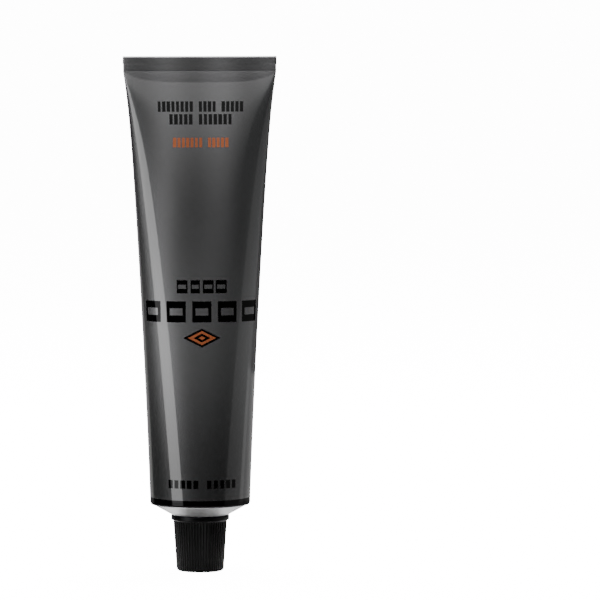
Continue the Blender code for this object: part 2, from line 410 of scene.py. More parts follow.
@dataclass(frozen=True)
class EnamelFinish:
    """Anthracite enamel with a clear coat, the decoration printed on it.

    Each span is the stretch of the tube's height over which one change happens. The base tone falls
    towards the lower edge as painted shade, is raised as painted light over the lower body and on the
    flattened end, and carries a painted highlight along its rim. The swell is the soft hump that the
    sheet takes across the upper sleeve.
    """

    colour: Point = (0.114, 0.114, 0.1165)
    metallic: float = 0.96
    roughness: float = 0.50
    coat_roughness: float = 0.035
    band_top: float = 26.15 * MM
    # painted shade: the base tone darkens towards the shoulder end
    painted_shade_low: float = 0.34
    painted_shade_span: tuple[float, float] = (26.0 * MM, 84.0 * MM)
    # painted light: the base tone is raised over the lower body
    lift: float = 0.42
    painted_lift_span: tuple[float, float] = (84.0 * MM, 125.0 * MM)
    # painted light: the flattened end's base tone is made lighter
    fold_painted_light: float = 0.62
    fold_span: tuple[float, float] = (174.6 * MM, 175.6 * MM)
    # painted highlight: a lighter line along the fold's top edge where it catches the light
    rim_painted_highlight: float = 1.6
    rim_span: tuple[float, float] = (179.3 * MM, 179.7 * MM)
    relief: float = 0.012 * MM
    swell_depth: float = 0.4 * MM
    swell_length: float = 18.9 * MM
    swell_start: float = -11.7 * MM
    swell_span: tuple[float, float] = (90.0 * MM, 140.0 * MM)
    marks: tuple[PrintMark, ...] = ()

    def material(self) -> bpy.types.Material:
        """Build the material.

        Returns:
            The finished material, which reads the unrolled sleeve's UV in metres.
        """
        graph = MaterialGraph("tube_enamel")
        across, up, _ = graph.split(graph.coordinates.outputs["UV"])
        cloud = graph.noise(26.0, 2.0)
        flake = graph.noise(5200.0, 1.0)
        # painted shade: the base tone darkens towards the shoulder end
        painted_shade = self.painted_shade_low + (1.0 - self.painted_shade_low) * up.smooth(*self.painted_shade_span)
        # painted light: the base tone is raised over the lower body
        painted_lift_gain = (1.0 + self.lift) - self.lift * up.smooth(*self.painted_lift_span)
        # painted light on the flattened end and a painted highlight along its top edge
        painted_end_light = 1.0 + self.fold_painted_light * up.smooth(*self.fold_span) + self.rim_painted_highlight * up.smooth(*self.rim_span)
        # random cloud and flake variation, times the painted shade and painted light by height
        tone = (0.88 + cloud * 0.18 + flake * 0.06) * painted_shade * painted_lift_gain * painted_end_light
        grey = [tone * part for part in self.colour]
        printed = up.smooth(self.band_top + 0.1 * MM, self.band_top - 0.1 * MM)
        colour = graph.mix(printed, graph.join(*grey), Ink.BLACK.value)
        for mark in self.marks:
            mask = mark.mask(graph, across, up)
            colour = graph.mix(mask, colour, mark.ink.value)
            printed = printed.math("MAXIMUM", mask)
            if mark.shape is MarkShape.LOZENGE:
                for ink, share in ((Ink.COPPER, 0.74), (Ink.BLACK, 0.46), (Ink.COPPER, 0.2)):
                    core = replace(mark, height=mark.height * share, half_width=mark.half_width * share)
                    colour = graph.mix(core.mask(graph, across, up), colour, ink.value)
        peel = graph.noise(900.0, 2.0)
        dents = graph.noise(70.0, 1.0)
        turn = (across - self.swell_start) * (2.0 * math.pi / self.swell_length)
        swell = turn.math("SINE") * up.smooth(*self.swell_span) * (self.swell_depth / self.relief)
        graph.set(
            Base_Color=colour,
            Metallic=self.metallic * (1.0 - printed),
            Roughness=self.roughness + cloud * 0.05 + printed * 0.05,
            Specular_IOR_Level=0.0,
            Coat_Weight=1.0 - printed * 0.72,
            Coat_Roughness=self.coat_roughness,
            Coat_IOR=1.5,
            Normal=graph.bump(peel * 0.25 + dents * 2.0 + printed * 0.5 + swell, self.relief),
        )
        return graph.material


@dataclass(frozen=True)
class BareMetalFinish:
    """Drawn aluminium with fine turning lines."""

    colour: Point = (0.47, 0.47, 0.475)
    roughness: float = 0.44
    line_scale: float = 2600.0

    def material(self) -> bpy.types.Material:
        """Build the material.

        Returns:
            The finished material.
        """
        graph = MaterialGraph("tube_bare_metal")
        x, y, z = graph.split(graph.object_point())
        radius = (x * x + y * y).math("SQRT")
        lines = graph.noise(self.line_scale, 2.0, graph.join(radius, z * 0.6, 0.0))
        grain = graph.noise(1500.0, 3.0)
        stain = graph.noise(160.0, 3.0)
        shade = 0.86 + stain * 0.2
        graph.set(
            Base_Color=graph.join(*[shade * part for part in self.colour]),
            Metallic=1.0,
            Roughness=self.roughness + (grain - 0.5) * 0.25,
            Normal=graph.bump(lines * 0.8 + grain * 0.7, 0.02 * MM),
        )
        return graph.material


@dataclass(frozen=True)
class LacquerFinish:
    """Gold-tinted lacquer on the tube's inside."""

    colour: Point = (0.62, 0.44, 0.20)

    def material(self) -> bpy.types.Material:
        """Build the material.

        Returns:
            The finished material.
        """
        graph = MaterialGraph("tube_inner_lacquer")
        flow = graph.noise(240.0, 3.0)
        graph.set(
            Base_Color=graph.join(*[(0.8 + flow * 0.35) * part for part in self.colour]),
            Metallic=0.9,
            Roughness=0.3 + flow * 0.12,
            Coat_Weight=0.5,
            Normal=graph.bump(flow, 0.02 * MM),
        )
        return graph.material


@dataclass(frozen=True)
class PlasticFinish:
    """Semi-matte moulded plastic."""

    colour: Point = (0.0012, 0.0012, 0.0013)
    roughness: float = 0.33

    def material(self) -> bpy.types.Material:
        """Build the material.

        Returns:
            The finished material.
        """
        graph = MaterialGraph("cap_plastic_black")
        texture = graph.noise(2400.0, 3.0)
        wear = graph.noise(300.0, 3.0)
        graph.set(
            Base_Color=graph.join(*[(0.8 + wear * 0.4) * part for part in self.colour]),
            Roughness=self.roughness + (wear - 0.5) * 0.12,
            Specular_IOR_Level=0.12,
            Normal=graph.bump(texture, 0.012 * MM),
        )
        return graph.material


@dataclass(frozen=True)
class SoftFinish:
    """A dull, slightly uneven substance, such as foam, dried compound, cream or paper.

    fade_span gives the distances from the axis between which it thins out to nothing.
    """

    name: str
    colour: Point
    roughness: float
    grain_scale: float
    grain_depth: float
    subsurface: float = 0.0
    glow: float = 0.0
    fade_span: tuple[float, float] | None = None

    def material(self) -> bpy.types.Material:
        """Build the material.

        Returns:
            The finished material.
        """
        graph = MaterialGraph(self.name)
        grain = graph.noise(self.grain_scale, 4.0)
        patch = graph.noise(self.grain_scale * 0.15, 2.0)
        graph.set(
            Base_Color=graph.join(*[(0.9 + patch * 0.12 + grain * 0.05) * part for part in self.colour]),
            Roughness=self.roughness + (grain - 0.5) * 0.1,
            Subsurface_Weight=self.subsurface,
            Subsurface_Scale=0.001,
            Emission_Color=(1.0, 1.0, 1.0, 1.0),
            Emission_Strength=self.glow,
            Normal=graph.bump(grain, self.grain_depth),
        )
        if self.fade_span:
            x, y, _ = graph.split(graph.object_point())
            start, end = self.fade_span
            graph.set(Alpha=((x * x + y * y) ** 0.5).smooth(end, start))
        return graph.material


@dataclass(frozen=True)
class FoilFinish:
    """Thin crinkled foil."""

    colour: Point = (0.83, 0.83, 0.84)

    def material(self) -> bpy.types.Material:
        """Build the material.

        Returns:
            The finished material.
        """
        graph = MaterialGraph("foil_bare")
        cells = graph.add(
            "ShaderNodeTexVoronoi", {"feature": "F1"}, {"Vector": graph.object_point(), "Scale": 900.0}
        )
        crinkle = graph.scalar(cells.outputs["Distance"]) + graph.noise(500.0, 3.0)
        graph.set(
            Base_Color=graph.join(*[(0.92 + crinkle * 0.08) * part for part in self.colour]),
            Metallic=1.0,
            Roughness=0.22 + crinkle * 0.06,
            Normal=graph.bump(crinkle, 0.05 * MM),
        )
        return graph.material


# ---------------------------------------------------------------------------------------------
# Geometry
# ---------------------------------------------------------------------------------------------


class GeometryGraph(Graph):
    """A Geometry Nodes tree whose float inputs are named and set by identifier."""

    def __init__(self, name: str) -> None:
        """Start a tree with a geometry input and output.

        Args:
            name: the tree's name.
        """
        super().__init__(bpy.data.node_groups.new(name, "GeometryNodeTree"))
        for side in ("INPUT", "OUTPUT"):
            self.tree.interface.new_socket("Geometry", in_out=side, socket_type="NodeSocketGeometry")
        self.start = self.add("NodeGroupInput")
        self.end = self.add("NodeGroupOutput")
        self.values: dict[str, float] = {}

    def parameter(self, name: str, value: float) -> Scalar:
        """Add a named float input.

        Args:
            name: the input's name.
            value: the value that the modifier gives it.

        Returns:
            The input as an expression.
        """
        socket = self.tree.interface.new_socket(name, in_out="INPUT", socket_type="NodeSocketFloat")
        self.values[socket.identifier] = value
        return self.scalar(self.start.outputs[name])

    def attribute(self, name: str, kind: str = "FLOAT") -> Scalar:
        """Read a named attribute.

        Args:
            name: the attribute's name.
            kind: its data type.

        Returns:
            The attribute as an expression.
        """
        node = self.add("GeometryNodeInputNamedAttribute", {"data_type": kind}, {"Name": name})
        return self.scalar(node.outputs["Attribute"])

    def finish(self, geometry: bpy.types.NodeSocket, finishes: list[bpy.types.Material]) -> None:
        """Realize the result and give each zone its material.

        Args:
            geometry: the shaped geometry.
            finishes: materials in the order of the zone attribute's values.
        """
        flow = self.add("GeometryNodeRealizeInstances", None, {"Geometry": geometry}).outputs[0]
        zone = self.attribute("zone", "INT")
        for index, material in enumerate(finishes):
            settings = {"data_type": "INT", "operation": "EQUAL"}
            chosen = self.add("FunctionNodeCompare", settings, {2: zone, 3: index})
            inputs = {"Geometry": flow, "Selection": chosen.outputs[0], "Material": material}
            flow = self.add("GeometryNodeSetMaterial", None, inputs).outputs[0]
        self.feed(self.end.inputs[0], flow)

    def apply(self, obj: bpy.types.Object) -> None:
        """Run the tree on an object and keep the result as its plain mesh.

        Args:
            obj: the object to change.
        """
        modifier = obj.modifiers.new(self.tree.name, "NODES")
        modifier.node_group = self.tree
        for identifier, value in self.values.items():
            modifier[identifier] = value
        bpy.context.view_layer.update()
        made = bpy.data.meshes.new_from_object(obj.evaluated_get(bpy.context.evaluated_depsgraph_get()))
        obj.modifiers.remove(modifier)
        blank = obj.data
        obj.data = made
        bpy.data.meshes.remove(blank)


@dataclass(frozen=True)
class Section:
    """A closed outline across the axis: a circle, an ellipse or, with more squareness, a flat strip."""

    half_width: float
    half_depth: float
    z: float
    centre_y: float = 0.0
    squareness: float = 2.0

    def ring(self, count: int) -> Ring:
        """Points at equal distances round the outline, from its back centre towards -X.

        Args:
            count: number of points.

        Returns:
            The points.
        """
        angle = np.linspace(0.5 * math.pi, 2.5 * math.pi, 1441)
        across, deep = np.cos(angle), np.sin(angle)
        power = 2.0 / self.squareness
        x = self.half_width * np.sign(across) * np.abs(across) ** power
        y = self.half_depth * np.sign(deep) * np.abs(deep) ** power
        length = np.concatenate([[0.0], np.cumsum(np.hypot(np.diff(x), np.diff(y)))])
        stops = np.linspace(0.0, length[-1], count, endpoint=False)
        xs, ys = np.interp(stops, length, x), np.interp(stops, length, y)
        return [(float(a), float(b) + self.centre_y, self.z) for a, b in zip(xs, ys)]


def circle(radius: float, z: float) -> Section:
    """A round section.

    Args:
        radius: its radius.
        z: its height.

    Returns:
        The section.
    """
    return Section(radius, radius, z)


@dataclass
class Surface:
    """A closed surface through rings of equally many points."""

    name: str
    count: int
    rings: list[Ring] = field(default_factory=list)
    zones: list[int] = field(default_factory=list)
    weights: list[float] = field(default_factory=list)

    def add(self, section: Section | Ring, zone: int = 0, weight: float = 0.0) -> None:
        """Add a ring.

        Args:
            section: an outline or a ready ring.
            zone: the finish of the band that starts at this ring.
            weight: how far Geometry Nodes may move the ring, from 0 to 1.
        """
        ring = section.ring(self.count) if isinstance(section, Section) else section
        self.rings.append(ring)
        self.zones.append(zone)
        self.weights.append(weight)

    def strip(self, start: int) -> list[tuple[int, ...]]:
        """Faces that close a ring by joining each point to the one across from it.

        Args:
            start: index of the ring's first point.

        Returns:
            The faces.
        """
        faces = []
        for i in range(self.count // 2):
            near = (start + i, start + i + 1)
            far = (start + (self.count - i - 1) % self.count, start + (self.count - i) % self.count)
            faces.append(tuple(dict.fromkeys((*near, *far))))
        return faces

    def build(self, girth: float, outward: bool = True) -> bpy.types.Object:
        """Make the object, with zone and weight attributes and a UV of the unrolled sheet in metres.

        Args:
            girth: the length that one turn stands for in the UV.
            outward: False turns every face round.

        Returns:
            The object.
        """
        count = self.count
        faces: list[tuple[int, ...]] = []
        zones: list[int] = []
        for k in range(len(self.rings) - 1):
            low, high = k * count, (k + 1) * count
            for i in range(count):
                j = (i + 1) % count
                faces.append((low + i, high + i, high + j, low + j))
            zones += [self.zones[k]] * count
        first = self.strip(0)
        last = self.strip((len(self.rings) - 1) * count)
        faces += first + [tuple(reversed(face)) for face in last]
        zones += [self.zones[0]] * len(first) + [self.zones[-1]] * len(last)
        if not outward:
            faces = [tuple(reversed(face)) for face in faces]
        mesh = bpy.data.meshes.new(self.name)
        points = [point for ring in self.rings for point in ring]
        mesh.from_pydata(points, [], faces)
        mesh.attributes.new("zone", "INT", "FACE").data.foreach_set("value", zones)
        weights = np.repeat(self.weights, count).astype(np.float32)
        mesh.attributes.new("weight", "FLOAT", "POINT").data.foreach_set("value", weights)
        self.unroll(mesh, points, girth)
        mesh.shade_smooth()
        obj = bpy.data.objects.new(self.name, mesh)
        bpy.context.scene.collection.objects.link(obj)
        return obj

    def unroll(self, mesh: bpy.types.Mesh, points: list[Point], girth: float) -> None:
        """Write the UV: distance round from the front's centre line, and height.

        Args:
            mesh: the mesh.
            points: its points.
            girth: the length that one turn stands for.
        """
        layer = mesh.uv_layers.new(name="unrolled")
        corners = np.empty(len(mesh.loops), dtype=np.int32)
        mesh.loops.foreach_get("vertex_index", corners)
        column = corners % self.count
        height = np.array([point[2] for point in points])[corners]
        face_of = np.repeat(np.arange(len(mesh.polygons)), [p.loop_total for p in mesh.polygons])
        highest = np.zeros(len(mesh.polygons), dtype=np.int32)
        np.maximum.at(highest, face_of, column)
        wraps = (column == 0) & (highest[face_of] == self.count - 1)
        turn = (column + wraps * self.count) / self.count - 0.5
        layer.data.foreach_set("uv", np.stack([turn * girth, height], axis=1).ravel())


@dataclass(frozen=True)
class Sleeve:
    """How the tube's section changes from the full circle to the flattened end."""

    radius: float = 17.5 * MM
    seal_half_width: float = 26.7 * MM
    seal_half_thickness: float = 0.6 * MM
    seal_squareness: float = 9.0
    squareness_rise: float = 0.7
    squareness_fade: float = 5.0 * MM
    round_end: float = 25.4 * MM
    flat_start: float = 174.6 * MM
    spread_linear: float = 0.585
    spread_square: float = 0.29
    spread_power: int = 12
    opening_power: float = 0.3
    opening_start: float = 6.0 * MM

    def section(self, z: float, inset: float = 0.0) -> Section:
        """The sleeve's outline at a height.

        Args:
            z: the height.
            inset: how far inside the metal's outside it lies.

        Returns:
            The outline.
        """
        span = self.flat_start - self.round_end
        t = min(max((z - self.round_end) / span, 0.0), 1.0)
        rest = 1.0 - self.spread_linear - self.spread_square
        spread = self.spread_linear * t + self.spread_square * t * t + rest * t**self.spread_power
        width = self.radius + (self.seal_half_width - self.radius) * spread
        power, start = self.opening_power, self.opening_start
        low, high = start**power, (span + start) ** power
        opened = (((1.0 - t) * span + start) ** power - low) / (high - low)
        depth = self.seal_half_thickness + (self.radius - self.seal_half_thickness) * opened
        fade = math.exp(min(z - self.flat_start, 0.0) / self.squareness_fade)
        squareness = 2.0 + self.squareness_rise * t * (1.0 - fade) + (self.seal_squareness - 2.0) * fade
        return Section(width - inset, depth - inset, z, 0.0, squareness)

    def heights(self, top: float, count: int, power: float = 1.6) -> list[float]:
        """Heights from top down to the round end, closer together near the flattened end.

        Args:
            top: the first height.
            count: number of steps.
            power: how much closer they get.

        Returns:
            The heights.
        """
        return [top - (top - self.round_end) * (i / count) ** power for i in range(count + 1)]


@dataclass(frozen=True)
class Thread:
    """The rounded right-hand thread that the nozzle and the cap share."""

    pitch: float = 2.0 * MM
    mean: float = 5.15 * MM
    half_depth: float = 0.35 * MM
    play: float = 0.4 * MM
    run_out: float = 0.8 * MM

    def rings(self, low: float, high: float, inner: bool, count: int, per_pitch: int = 14) -> list[Ring]:
        """Rings of the threaded wall from low to high.

        Args:
            low: where the thread starts.
            high: where it ends.
            inner: True for the nozzle's thread, False for the cap's.
            count: points in a ring.
            per_pitch: rings in one pitch.

        Returns:
            The rings.
        """
        steps = round((high - low) / self.pitch * per_pitch)
        swing = self.half_depth if inner else -self.half_depth
        resting = self.mean - self.half_depth if inner else self.mean + self.half_depth + self.play
        made = []
        for k in range(steps + 1):
            z = low + (high - low) * k / steps
            depth = min(max(min(z - low, high - z) / self.run_out, 0.0), 1.0)
            ring = []
            for i in range(count):
                angle = 0.5 * math.pi + 2.0 * math.pi * i / count
                wave = math.cos(2.0 * math.pi * z / self.pitch - angle)
                radius = resting + swing * depth * (1.0 + math.copysign(1.0, swing) * wave)
                ring.append((radius * math.cos(angle), radius * math.sin(angle), z))
            made.append(ring)
        return made


# ---------------------------------------------------------------------------------------------
# Pieces
# ---------------------------------------------------------------------------------------------


@dataclass
class TubeBody:
    """The one-piece aluminium tube: folded end, enamelled sleeve, bare shoulder, threaded nozzle."""

    sleeve: Sleeve = field(default_factory=Sleeve)
    thread: Thread = field(default_factory=Thread)
    points: int = 288
    top: float = 180.0 * MM
    fold_height: float = 2.8 * MM
    fold_back: float = 1.05 * MM
    fold_extra_width: float = 0.15 * MM
    wall: float = 0.3 * MM
    shoulder_wall: float = 0.68 * MM
    rim_radius: float = 17.15 * MM
    rim_z: float = 23.75 * MM
    shoulder_slope: float = 0.546
    bore_radius: float = 3.5 * MM
    neck_bottom: float = 11.45 * MM
    neck_top: float = 16.6 * MM
    cone_start: float = 16.6 * MM
    cone_end: float = 5.95 * MM
    waviness: float = 0.10 * MM

    def shoulder_z(self, radius: float) -> float:
        """Height of the shoulder's outside at a radius.

        Args:
            radius: distance from the axis.

        Returns:
            The height.
        """
        return self.rim_z - (self.rim_radius - radius) * self.shoulder_slope

    def fold(self, surface: Surface) -> None:
        """Add the flattened end: rounded bend, folded flap with its lower edge, flat strip.

        Args:
            surface: the surface being made.
        """
        s = self.sleeve
        middle = 0.5 * (self.fold_back - s.seal_half_thickness)
        half = 0.5 * (self.fold_back + s.seal_half_thickness)
        wide = s.seal_half_width + self.fold_extra_width
        bend = 0.55 * MM
        for step in range(9):
            angle = 0.5 * math.pi * (1.0 - step / 8.0)
            depth = max(half * math.cos(angle), 0.05 * MM)
            drop = bend * (1.0 - math.sin(angle))
            narrow = 0.25 * MM * (1.0 - math.cos(angle))
            surface.add(Section(wide - narrow, depth, self.top - drop, middle, s.seal_squareness))
        foot = self.top - self.fold_height
        for k in range(1, 7):
            z = self.top - bend + (foot + 0.25 * MM - self.top + bend) * k / 6.0
            surface.add(Section(wide, half, z, middle, s.seal_squareness))
        for share, back in ((0.10, 0.96), (0.02, 0.80), (-0.03, 0.35), (-0.10, 0.02)):
            deep = s.seal_half_thickness + (half - s.seal_half_thickness) * back
            width = s.seal_half_width + self.fold_extra_width * back
            surface.add(Section(width, deep, foot + share * MM, middle * back, s.seal_squareness))
        for k in range(1, 6):
            z = foot - 0.10 * MM + (s.flat_start + 0.10 * MM - foot) * k / 6.0
            surface.add(s.section(z))

    def lower_edge(self, surface: Surface) -> None:
        """Add the sleeve's rounded lower edge with its fine rings, then the bare cone.

        Args:
            surface: the surface being made.
        """
        r = self.sleeve.radius
        profile = (
            (0.00, 1.62), (0.00, 1.42), (-0.02, 1.36), (-0.02, 1.26), (0.00, 1.20), (0.00, 1.02),
            (-0.02, 0.96), (-0.02, 0.86), (0.00, 0.80), (-0.01, 0.60), (-0.05, 0.42), (-0.10, 0.28),
            (-0.17, 0.16), (-0.25, 0.07),
        )
        for inward, up in profile:
            surface.add(circle(r + inward * MM, self.rim_z + up * MM), Zone.ENAMEL.value)
        surface.add(circle(self.rim_radius, self.rim_z), Zone.BARE.value)
        bead = ((17.19, -0.06), (17.20, -0.14), (17.14, -0.23), (17.0, -0.27), (16.8, -0.22))
        for radius, up in bead:
            surface.add(circle(radius * MM, self.rim_z + up * MM), Zone.BARE.value)
        for k in range(15):
            radius = self.cone_start + (self.cone_end - self.cone_start) * k / 14.0
            surface.add(circle(radius, self.shoulder_z(radius)), Zone.BARE.value)

    def nozzle(self, surface: Surface) -> None:
        """Add the fillet, the thread, the mouth's lip and the bore.

        Args:
            surface: the surface being made.
        """
        minor = self.thread.mean - self.thread.half_depth
        low = self.neck_bottom + 0.3 * MM
        for angle in (0.25, 0.5, 0.75):
            radius = minor + 1.15 * MM * (1.0 - math.sin(angle * 0.5 * math.pi))
            z = self.neck_top + 1.1 * MM * (1.0 - angle) ** 2
            surface.add(circle(radius, min(z, self.shoulder_z(radius))), Zone.BARE.value)
        for ring in reversed(self.thread.rings(low, self.neck_top, True, self.points)):
            surface.add(ring, Zone.BARE.value)
        for inward, up in ((0.04, 0.15), (0.12, 0.05), (0.25, 0.0), (0.9, 0.0), (1.15, 0.03), (1.28, 0.12)):
            surface.add(circle(minor - inward * MM, self.neck_bottom + up * MM), Zone.BARE.value)
        surface.add(circle(self.bore_radius, self.neck_bottom + 0.3 * MM), Zone.LACQUER.value)

    def inside(self, surface: Surface) -> None:
        """Add the lacquered inside, up to the slot that holds the sealing compound.

        Args:
            surface: the surface being made.
        """
        s = self.sleeve
        lacquer = Zone.LACQUER.value
        for radius in (self.bore_radius, 8.0 * MM, 12.0 * MM, 16.8 * MM):
            surface.add(circle(radius, self.shoulder_z(radius) + self.shoulder_wall), lacquer)
        surface.add(circle(s.radius - self.wall, self.rim_z + 1.25 * MM), lacquer)
        for z in reversed(s.heights(s.flat_start - 0.6 * MM, 40)):
            surface.add(s.section(z, self.wall), lacquer)
        slot = s.seal_half_thickness - self.wall
        width = s.seal_half_width - self.wall
        for z in (s.flat_start, self.top - self.fold_height - 0.2 * MM):
            surface.add(Section(width, slot, z, 0.0, s.seal_squareness), lacquer)

    def mesh(self) -> bpy.types.Object:
        """Make the blank surface.

        Returns:
            The object, before its Geometry Nodes.
        """
        surface = Surface("tube_body_metal", self.points)
        self.fold(surface)
        s = self.sleeve
        for z in s.heights(s.flat_start, 150):
            depth = (s.flat_start - z) / MM
            rise = (z - s.round_end) / MM
            weight = min(1.0, depth / 25.0) * min(1.0, rise / 30.0)
            surface.add(s.section(z), Zone.ENAMEL.value, weight)
        self.lower_edge(surface)
        self.nozzle(surface)
        self.inside(surface)
        return surface.build(2.0 * math.pi * s.radius)

    def dress(self, obj: bpy.types.Object, finishes: list[bpy.types.Material]) -> None:
        """Give the filled sleeve its soft waviness and each zone its finish.

        Args:
            obj: the blank surface.
            finishes: materials in the order of Zone.
        """
        graph = GeometryGraph("filled_sleeve")
        amount = graph.parameter("Waviness", self.waviness)
        size = graph.parameter("Waves per metre", 24.0)
        place = graph.add("GeometryNodeInputPosition").outputs[0]
        squeezed = graph.add(
            "ShaderNodeVectorMath", {"operation": "MULTIPLY"}, {0: place, 1: (1.0, 1.0, 0.45)}
        )
        inputs = {"Vector": squeezed.outputs[0], "W": 3.7, "Scale": size, "Detail": 1.0}
        noise = graph.add("ShaderNodeTexNoise", {"noise_dimensions": "4D"}, inputs)
        push = (graph.scalar(noise.outputs[0]) - 0.5) * 2.0 * amount * graph.attribute("weight")
        normal = graph.add("GeometryNodeInputNormal").outputs[0]
        offset = graph.add("ShaderNodeVectorMath", {"operation": "SCALE"}, {0: normal, "Scale": push})
        moved = graph.add(
            "GeometryNodeSetPosition",
            None,
            {"Geometry": graph.start.outputs[0], "Offset": offset.outputs[0]},
        )
        graph.finish(moved.outputs[0], finishes)
        graph.apply(obj)
        obj.data.set_sharp_from_angle(angle=math.radians(40.0))


@dataclass
class EndSealBand:
    """The sealing compound between the walls of the flattened end."""

    sleeve: Sleeve = field(default_factory=Sleeve)
    half_thickness: float = 0.15 * MM
    height: float = 1.8 * MM
    inset: float = 0.9 * MM
    points: int = 144

    def mesh(self) -> bpy.types.Object:
        """Make the strip, a little uneven along its edges.

        Returns:
            The object.
        """
        surface = Surface("end_seal_band_compound", self.points)
        low = self.sleeve.flat_start + 0.3 * MM
        width = self.sleeve.seal_half_width - self.inset
        profile = ((1.0, 0.45), (0.97, 0.85), (0.9, 1.0), (0.5, 0.94), (0.1, 1.0), (0.03, 0.85), (0.0, 0.45))
        for share, size in profile:
            z = low + self.height * share
            deep = self.half_thickness * size
            surface.add(Section(width - (1.0 - size) * 0.3 * MM, deep, z, 0.0, 6.0))
        return surface.build(0.11)


@dataclass
class CreamFill:
    """The contents, which fill the sleeve, the shoulder and the nozzle."""

    tube: TubeBody = field(default_factory=TubeBody)
    gap: float = 0.3 * MM
    top: float = 171.0 * MM
    points: int = 144

    def mesh(self) -> bpy.types.Object:
        """Make the filling.

        Returns:
            The object.
        """
        t = self.tube
        inset = t.wall + self.gap
        bore = t.bore_radius - self.gap
        lift = t.shoulder_wall + self.gap / math.cos(math.atan(t.shoulder_slope))
        surface = Surface("cream_filling", self.points)
        for z in t.sleeve.heights(self.top, 60):
            surface.add(t.sleeve.section(z, inset))
        surface.add(circle(t.sleeve.radius - inset, t.rim_z + 1.7 * MM))
        for radius in (16.4, 13.0, 9.0, 5.0):
            surface.add(circle(radius * MM, t.shoulder_z(radius * MM) + lift))
        surface.add(circle(bore, t.shoulder_z(bore) + lift))
        surface.add(circle(bore, t.neck_bottom + 0.1 * MM))
        surface.add(circle(bore - 0.15 * MM, t.neck_bottom))
        return surface.build(0.11)


@dataclass
class Disc:
    """A thin round piece with rounded edges and a pressed ring."""

    name: str
    radius: float
    low: float
    thickness: float
    pressed_at: float
    pressed_depth: float
    points: int = 144

    def mesh(self) -> bpy.types.Object:
        """Make the disc.

        Returns:
            The object.
        """
        surface = Surface(self.name, self.points)
        high = self.low + self.thickness
        edge = 0.3 * self.thickness
        r, p, d = self.radius, self.pressed_at, self.pressed_depth
        upper = (
            (0.02 * MM, 0.0), (p - 0.9 * MM, 0.0), (p - 0.5 * MM, d), (p + 0.3 * MM, d), (p + 0.5 * MM, 0.0),
        )
        for radius, dip in upper:
            surface.add(circle(radius, high - dip))
        surface.add(circle(r - edge, high))
        surface.add(circle(r - 0.3 * edge, high - 0.3 * edge))
        surface.add(circle(r, high - edge))
        surface.add(circle(r, self.low + edge))
        surface.add(circle(r - 0.3 * edge, self.low + 0.3 * edge))
        surface.add(circle(r - edge, self.low))
        surface.add(circle(0.02 * MM, self.low))
        return surface.build(0.03)


